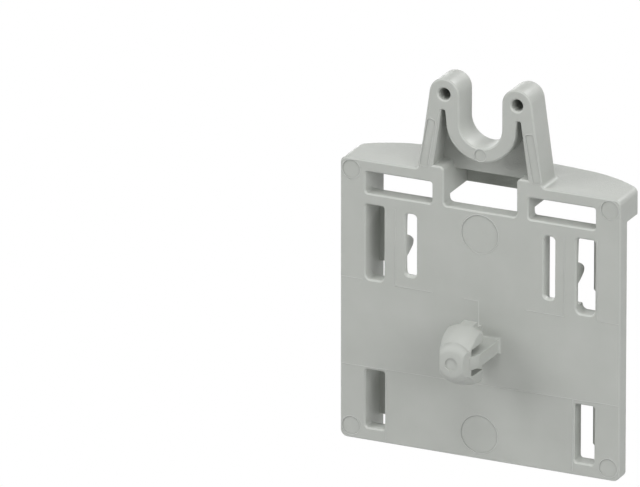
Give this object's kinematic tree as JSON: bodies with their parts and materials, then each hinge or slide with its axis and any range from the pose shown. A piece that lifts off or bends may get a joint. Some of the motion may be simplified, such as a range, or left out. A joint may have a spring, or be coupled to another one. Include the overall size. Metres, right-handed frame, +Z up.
{
  "type": "terminal block mounting adapter",
  "caption": "Moulded plate with side rails, hooked lips and spring arms that hold a terminal block, a bowed ledge with a forked saddle on top, and a snap peg on the back.",
  "frame": {"origin": "on the plate's back face, at the axis of the snap peg", "axes": "+Y out of the back along the peg, -Y towards the terminal block, +Z up to the ledge and the fork, X across the plate"},
  "size_m": [0.03, 0.0142, 0.039],
  "materials": {
    "body": "light grey polyamide, finely spark-eroded in front and smoother behind"
  },
  "bodies": {
    "root": {"adapter_body": "body"}
  },
  "joints": []
}
